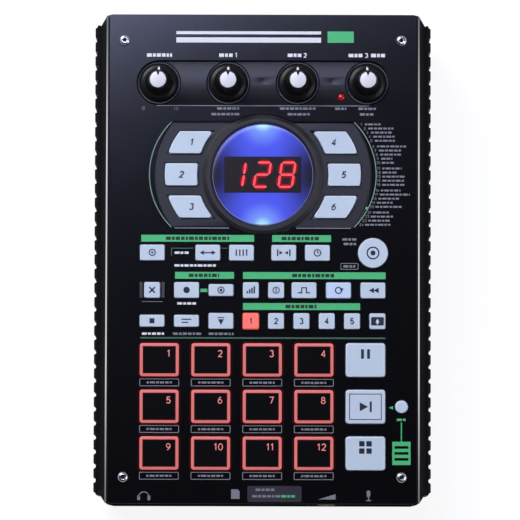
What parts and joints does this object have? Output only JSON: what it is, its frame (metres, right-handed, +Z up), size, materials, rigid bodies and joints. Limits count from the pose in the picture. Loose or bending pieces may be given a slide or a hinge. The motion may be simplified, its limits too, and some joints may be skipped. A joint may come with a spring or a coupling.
{
  "type": "audio sampler",
  "caption": "Wedge-shaped desktop audio sampler: sloping black panel with turning knobs, round lit display, press keys and lit pads, ribbed rubber sides, sockets front and rear.",
  "frame": {"origin": "middle of the footprint, on the table under the feet", "axes": "+X to the right as the player sees it, +Y to the rear edge with the sockets, +Z up"},
  "size_m": [0.1776, 0.2576, 0.072],
  "materials": {
    "case": "fine black moulded texture",
    "panel": "satin black coat with bright bevelled sides",
    "grip": "matt black, ribbed",
    "bezel": "satin dark grey",
    "lens": "clear blue, lit from behind",
    "board": "green circuit board with black and metal components",
    "screw": "bright",
    "knob": "glossy black, pale lilac caps on the large knobs",
    "key": "pale lilac silver",
    "lit_key": "translucent, lit red",
    "pad": "black middle in a translucent frame, lit red"
  },
  "bodies": {
    "case": {"lower_case": "case", "top_panel": "panel", "side_grips": "grip", "effect_bezel": "bezel", "display_lens": "lens", "panel_board": "board", "socket_board": "board", "screws": "screw", "feet": "grip"},
    "volume_knob": {"volume_knob": "knob"},
    "control_knob_1": {"control_knob_1": "knob"},
    "control_knob_2": {"control_knob_2": "knob"},
    "control_knob_3": {"control_knob_3": "knob"},
    "level_knob": {"level_knob": "knob"},
    "power_button": {"power_button": "knob"},
    "effect_key_1": {"effect_key_1": "key"},
    "effect_key_2": {"effect_key_2": "key"},
    "effect_key_3": {"effect_key_3": "key"},
    "effect_key_4": {"effect_key_4": "key"},
    "effect_key_5": {"effect_key_5": "key"},
    "effect_key_6": {"effect_key_6": "key"},
    "select_key": {"select_key": "key"},
    "length_key": {"length_key": "key"},
    "quantize_key": {"quantize_key": "key"},
    "trim_key": {"trim_key": "key"},
    "time_key": {"time_key": "key"},
    "tap_button": {"tap_button": "key"},
    "delete_key": {"delete_key": "key"},
    "record_key": {"record_key": "key"},
    "resample_key": {"resample_key": "key"},
    "lofi_key": {"lofi_key": "key"},
    "stereo_key": {"stereo_key": "key"},
    "gate_key": {"gate_key": "key"},
    "loop_key": {"loop_key": "key"},
    "reverse_key": {"reverse_key": "key"},
    "cancel_key": {"cancel_key": "key"},
    "remain_key": {"remain_key": "key"},
    "mark_key": {"mark_key": "key"},
    "bank_key_1": {"bank_key_1": "lit_key"},
    "bank_key_2": {"bank_key_2": "key"},
    "bank_key_3": {"bank_key_3": "key"},
    "bank_key_4": {"bank_key_4": "key"},
    "bank_key_5": {"bank_key_5": "key"},
    "shift_key": {"shift_key": "key"},
    "mic_button": {"mic_button": "key"},
    "pad_1": {"pad_1": "pad"},
    "pad_2": {"pad_2": "pad"},
    "pad_3": {"pad_3": "pad"},
    "pad_4": {"pad_4": "pad"},
    "pad_5": {"pad_5": "pad"},
    "pad_6": {"pad_6": "pad"},
    "pad_7": {"pad_7": "pad"},
    "pad_8": {"pad_8": "pad"},
    "pad_9": {"pad_9": "pad"},
    "pad_10": {"pad_10": "pad"},
    "pad_11": {"pad_11": "pad"},
    "pad_12": {"pad_12": "pad"},
    "hold_key": {"hold_key": "key"},
    "source_key": {"source_key": "key"},
    "sub_pad_key": {"sub_pad_key": "key"}
  },
  "joints": [
    {"name": "volume_knob_turn", "type": "hinge", "parent": "case", "child": "volume_knob", "pos_m": [-0.0549, 0.09251, 0.05477], "axis": [0, -0.0558, 0.9984], "range_deg": [-150, 150]},
    {"name": "control_knob_1_turn", "type": "hinge", "parent": "case", "child": "control_knob_1", "pos_m": [-0.0183, 0.09251, 0.05477], "axis": [0, -0.0558, 0.9984], "range_deg": [-150, 150]},
    {"name": "control_knob_2_turn", "type": "hinge", "parent": "case", "child": "control_knob_2", "pos_m": [0.0183, 0.09251, 0.05477], "axis": [0, -0.0558, 0.9984], "range_deg": [-150, 150]},
    {"name": "control_knob_3_turn", "type": "hinge", "parent": "case", "child": "control_knob_3", "pos_m": [0.0549, 0.09251, 0.05477], "axis": [0, -0.0558, 0.9984], "range_deg": [-150, 150]},
    {"name": "level_knob_turn", "type": "hinge", "parent": "case", "child": "level_knob", "pos_m": [0.034, -0.1285, 0.0205], "axis": [0, -1, 0], "range_deg": [-150, 150]},
    {"name": "power_button_press", "type": "slide", "parent": "case", "child": "power_button", "axis": [0, -1, 0], "range_m": [0, 0.0025], "stiffness_N_per_m": 400, "springref_m": -0.002},
    {"name": "effect_key_1_press", "type": "slide", "parent": "case", "child": "effect_key_1", "axis": [0, 0.0558, -0.9984], "range_m": [0, 0.0006], "stiffness_N_per_m": 500, "springref_m": -0.0008},
    {"name": "effect_key_2_press", "type": "slide", "parent": "case", "child": "effect_key_2", "axis": [0, 0.0558, -0.9984], "range_m": [0, 0.0006], "stiffness_N_per_m": 500, "springref_m": -0.0008},
    {"name": "effect_key_3_press", "type": "slide", "parent": "case", "child": "effect_key_3", "axis": [0, 0.0558, -0.9984], "range_m": [0, 0.0006], "stiffness_N_per_m": 500, "springref_m": -0.0008},
    {"name": "effect_key_4_press", "type": "slide", "parent": "case", "child": "effect_key_4", "axis": [0, 0.0558, -0.9984], "range_m": [0, 0.0006], "stiffness_N_per_m": 500, "springref_m": -0.0008},
    {"name": "effect_key_5_press", "type": "slide", "parent": "case", "child": "effect_key_5", "axis": [0, 0.0558, -0.9984], "range_m": [0, 0.0006], "stiffness_N_per_m": 500, "springref_m": -0.0008},
    {"name": "effect_key_6_press", "type": "slide", "parent": "case", "child": "effect_key_6", "axis": [0, 0.0558, -0.9984], "range_m": [0, 0.0006], "stiffness_N_per_m": 500, "springref_m": -0.0008},
    {"name": "select_key_press", "type": "slide", "parent": "case", "child": "select_key", "axis": [0, 0.0558, -0.9984], "range_m": [0, 0.0006], "stiffness_N_per_m": 500, "springref_m": -0.0008},
    {"name": "length_key_press", "type": "slide", "parent": "case", "child": "length_key", "axis": [0, 0.0558, -0.9984], "range_m": [0, 0.0006], "stiffness_N_per_m": 500, "springref_m": -0.0008},
    {"name": "quantize_key_press", "type": "slide", "parent": "case", "child": "quantize_key", "axis": [0, 0.0558, -0.9984], "range_m": [0, 0.0006], "stiffness_N_per_m": 500, "springref_m": -0.0008},
    {"name": "trim_key_press", "type": "slide", "parent": "case", "child": "trim_key", "axis": [0, 0.0558, -0.9984], "range_m": [0, 0.0006], "stiffness_N_per_m": 500, "springref_m": -0.0008},
    {"name": "time_key_press", "type": "slide", "parent": "case", "child": "time_key", "axis": [0, 0.0558, -0.9984], "range_m": [0, 0.0006], "stiffness_N_per_m": 500, "springref_m": -0.0008},
    {"name": "tap_button_press", "type": "slide", "parent": "case", "child": "tap_button", "axis": [0, 0.0558, -0.9984], "range_m": [0, 0.0006], "stiffness_N_per_m": 500, "springref_m": -0.0008},
    {"name": "delete_key_press", "type": "slide", "parent": "case", "child": "delete_key", "axis": [0, 0.0558, -0.9984], "range_m": [0, 0.0006], "stiffness_N_per_m": 500, "springref_m": -0.0008},
    {"name": "record_key_press", "type": "slide", "parent": "case", "child": "record_key", "axis": [0, 0.0558, -0.9984], "range_m": [0, 0.0006], "stiffness_N_per_m": 500, "springref_m": -0.0008},
    {"name": "resample_key_press", "type": "slide", "parent": "case", "child": "resample_key", "axis": [0, 0.0558, -0.9984], "range_m": [0, 0.0006], "stiffness_N_per_m": 500, "springref_m": -0.0008},
    {"name": "lofi_key_press", "type": "slide", "parent": "case", "child": "lofi_key", "axis": [0, 0.0558, -0.9984], "range_m": [0, 0.0006], "stiffness_N_per_m": 500, "springref_m": -0.0008},
    {"name": "stereo_key_press", "type": "slide", "parent": "case", "child": "stereo_key", "axis": [0, 0.0558, -0.9984], "range_m": [0, 0.0006], "stiffness_N_per_m": 500, "springref_m": -0.0008},
    {"name": "gate_key_press", "type": "slide", "parent": "case", "child": "gate_key", "axis": [0, 0.0558, -0.9984], "range_m": [0, 0.0006], "stiffness_N_per_m": 500, "springref_m": -0.0008},
    {"name": "loop_key_press", "type": "slide", "parent": "case", "child": "loop_key", "axis": [0, 0.0558, -0.9984], "range_m": [0, 0.0006], "stiffness_N_per_m": 500, "springref_m": -0.0008},
    {"name": "reverse_key_press", "type": "slide", "parent": "case", "child": "reverse_key", "axis": [0, 0.0558, -0.9984], "range_m": [0, 0.0006], "stiffness_N_per_m": 500, "springref_m": -0.0008},
    {"name": "cancel_key_press", "type": "slide", "parent": "case", "child": "cancel_key", "axis": [0, 0.0558, -0.9984], "range_m": [0, 0.0006], "stiffness_N_per_m": 500, "springref_m": -0.0008},
    {"name": "remain_key_press", "type": "slide", "parent": "case", "child": "remain_key", "axis": [0, 0.0558, -0.9984], "range_m": [0, 0.0006], "stiffness_N_per_m": 500, "springref_m": -0.0008},
    {"name": "mark_key_press", "type": "slide", "parent": "case", "child": "mark_key", "axis": [0, 0.0558, -0.9984], "range_m": [0, 0.0006], "stiffness_N_per_m": 500, "springref_m": -0.0008},
    {"name": "bank_key_1_press", "type": "slide", "parent": "case", "child": "bank_key_1", "axis": [0, 0.0558, -0.9984], "range_m": [0, 0.0006], "stiffness_N_per_m": 500, "springref_m": -0.0008},
    {"name": "bank_key_2_press", "type": "slide", "parent": "case", "child": "bank_key_2", "axis": [0, 0.0558, -0.9984], "range_m": [0, 0.0006], "stiffness_N_per_m": 500, "springref_m": -0.0008},
    {"name": "bank_key_3_press", "type": "slide", "parent": "case", "child": "bank_key_3", "axis": [0, 0.0558, -0.9984], "range_m": [0, 0.0006], "stiffness_N_per_m": 500, "springref_m": -0.0008},
    {"name": "bank_key_4_press", "type": "slide", "parent": "case", "child": "bank_key_4", "axis": [0, 0.0558, -0.9984], "range_m": [0, 0.0006], "stiffness_N_per_m": 500, "springref_m": -0.0008},
    {"name": "bank_key_5_press", "type": "slide", "parent": "case", "child": "bank_key_5", "axis": [0, 0.0558, -0.9984], "range_m": [0, 0.0006], "stiffness_N_per_m": 500, "springref_m": -0.0008},
    {"name": "shift_key_press", "type": "slide", "parent": "case", "child": "shift_key", "axis": [0, 0.0558, -0.9984], "range_m": [0, 0.0006], "stiffness_N_per_m": 500, "springref_m": -0.0008},
    {"name": "mic_button_press", "type": "slide", "parent": "case", "child": "mic_button", "axis": [0, 0.0558, -0.9984], "range_m": [0, 0.0006], "stiffness_N_per_m": 500, "springref_m": -0.0008},
    {"name": "pad_1_press", "type": "slide", "parent": "case", "child": "pad_1", "axis": [0, 0.0558, -0.9984], "range_m": [0, 0.0012], "stiffness_N_per_m": 500, "springref_m": -0.0008},
    {"name": "pad_2_press", "type": "slide", "parent": "case", "child": "pad_2", "axis": [0, 0.0558, -0.9984], "range_m": [0, 0.0012], "stiffness_N_per_m": 500, "springref_m": -0.0008},
    {"name": "pad_3_press", "type": "slide", "parent": "case", "child": "pad_3", "axis": [0, 0.0558, -0.9984], "range_m": [0, 0.0012], "stiffness_N_per_m": 500, "springref_m": -0.0008},
    {"name": "pad_4_press", "type": "slide", "parent": "case", "child": "pad_4", "axis": [0, 0.0558, -0.9984], "range_m": [0, 0.0012], "stiffness_N_per_m": 500, "springref_m": -0.0008},
    {"name": "pad_5_press", "type": "slide", "parent": "case", "child": "pad_5", "axis": [0, 0.0558, -0.9984], "range_m": [0, 0.0012], "stiffness_N_per_m": 500, "springref_m": -0.0008},
    {"name": "pad_6_press", "type": "slide", "parent": "case", "child": "pad_6", "axis": [0, 0.0558, -0.9984], "range_m": [0, 0.0012], "stiffness_N_per_m": 500, "springref_m": -0.0008},
    {"name": "pad_7_press", "type": "slide", "parent": "case", "child": "pad_7", "axis": [0, 0.0558, -0.9984], "range_m": [0, 0.0012], "stiffness_N_per_m": 500, "springref_m": -0.0008},
    {"name": "pad_8_press", "type": "slide", "parent": "case", "child": "pad_8", "axis": [0, 0.0558, -0.9984], "range_m": [0, 0.0012], "stiffness_N_per_m": 500, "springref_m": -0.0008},
    {"name": "pad_9_press", "type": "slide", "parent": "case", "child": "pad_9", "axis": [0, 0.0558, -0.9984], "range_m": [0, 0.0012], "stiffness_N_per_m": 500, "springref_m": -0.0008},
    {"name": "pad_10_press", "type": "slide", "parent": "case", "child": "pad_10", "axis": [0, 0.0558, -0.9984], "range_m": [0, 0.0012], "stiffness_N_per_m": 500, "springref_m": -0.0008},
    {"name": "pad_11_press", "type": "slide", "parent": "case", "child": "pad_11", "axis": [0, 0.0558, -0.9984], "range_m": [0, 0.0012], "stiffness_N_per_m": 500, "springref_m": -0.0008},
    {"name": "pad_12_press", "type": "slide", "parent": "case", "child": "pad_12", "axis": [0, 0.0558, -0.9984], "range_m": [0, 0.0012], "stiffness_N_per_m": 500, "springref_m": -0.0008},
    {"name": "hold_key_press", "type": "slide", "parent": "case", "child": "hold_key", "axis": [0, 0.0558, -0.9984], "range_m": [0, 0.0012], "stiffness_N_per_m": 500, "springref_m": -0.0008},
    {"name": "source_key_press", "type": "slide", "parent": "case", "child": "source_key", "axis": [0, 0.0558, -0.9984], "range_m": [0, 0.0012], "stiffness_N_per_m": 500, "springref_m": -0.0008},
    {"name": "sub_pad_key_press", "type": "slide", "parent": "case", "child": "sub_pad_key", "axis": [0, 0.0558, -0.9984], "range_m": [0, 0.0012], "stiffness_N_per_m": 500, "springref_m": -0.0008}
  ]
}
